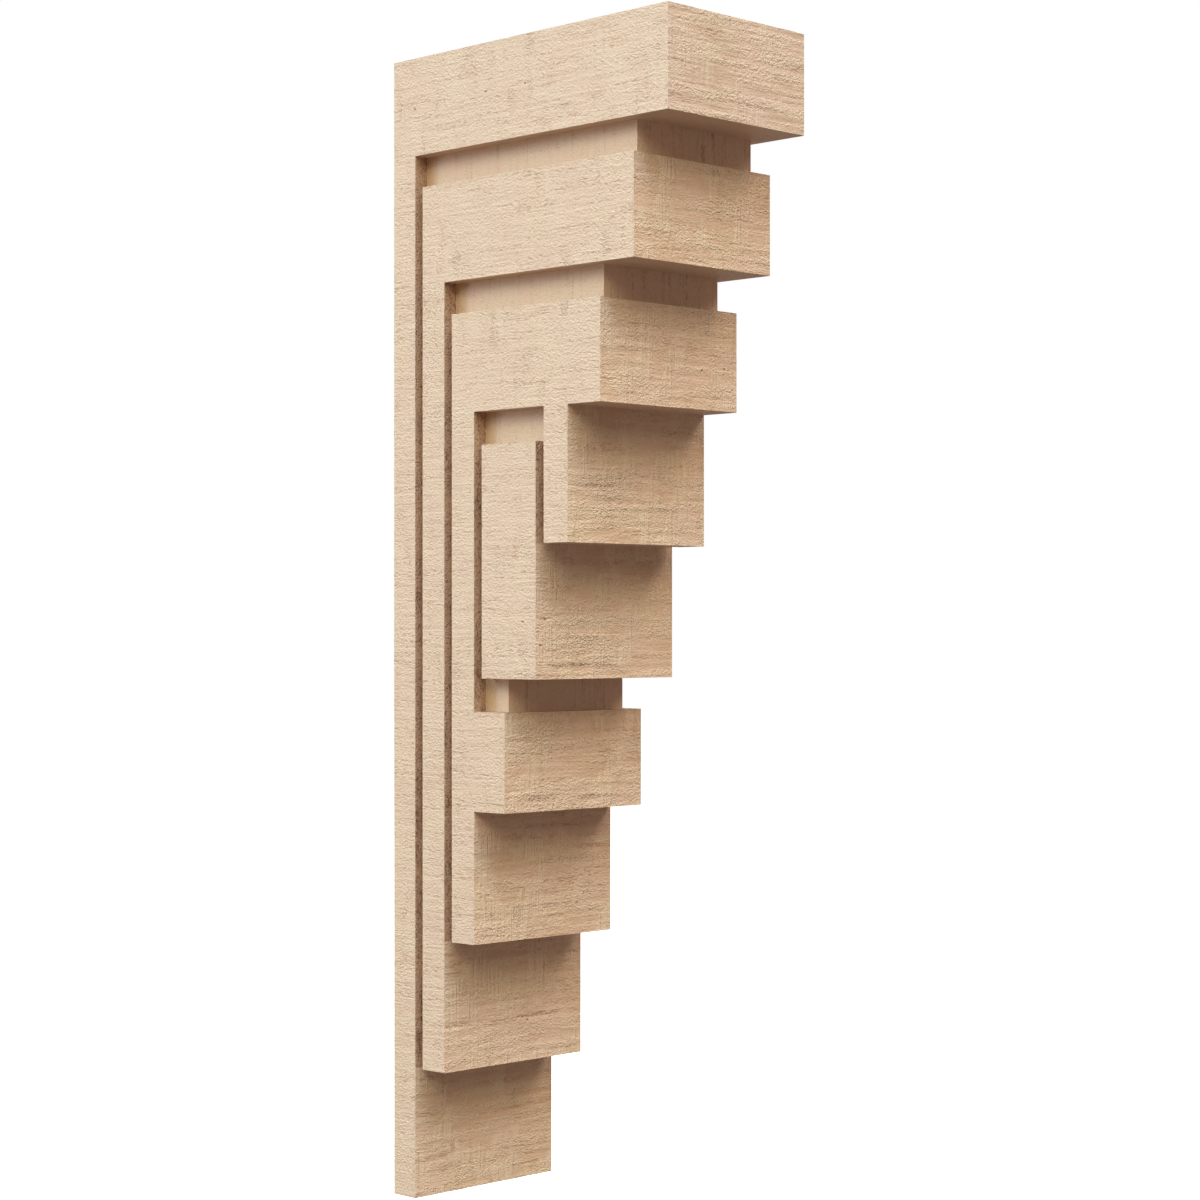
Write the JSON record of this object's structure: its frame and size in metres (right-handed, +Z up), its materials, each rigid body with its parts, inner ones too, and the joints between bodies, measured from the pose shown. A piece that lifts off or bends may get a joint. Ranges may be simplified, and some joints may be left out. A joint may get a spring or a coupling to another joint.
{
  "type": "corbel",
  "caption": "Stepped wall corbel with nested square bands, level slots and upright grooves, cast in one piece with a rough-sawn timber finish; holds up a shelf, beam or eave.",
  "frame": {"origin": "centre of the flat back face, where the casting is glued and screwed to the wall", "axes": "+Z up, +Y into the wall along the back face's outward normal, so the steps face -Y; +X across the width"},
  "size_m": [0.1524, 0.3048, 0.9144],
  "materials": {
    "urethane": "rough-sawn timber texture, matt, tan factory primer"
  },
  "bodies": {
    "root": {"corbel": "urethane"}
  },
  "joints": []
}
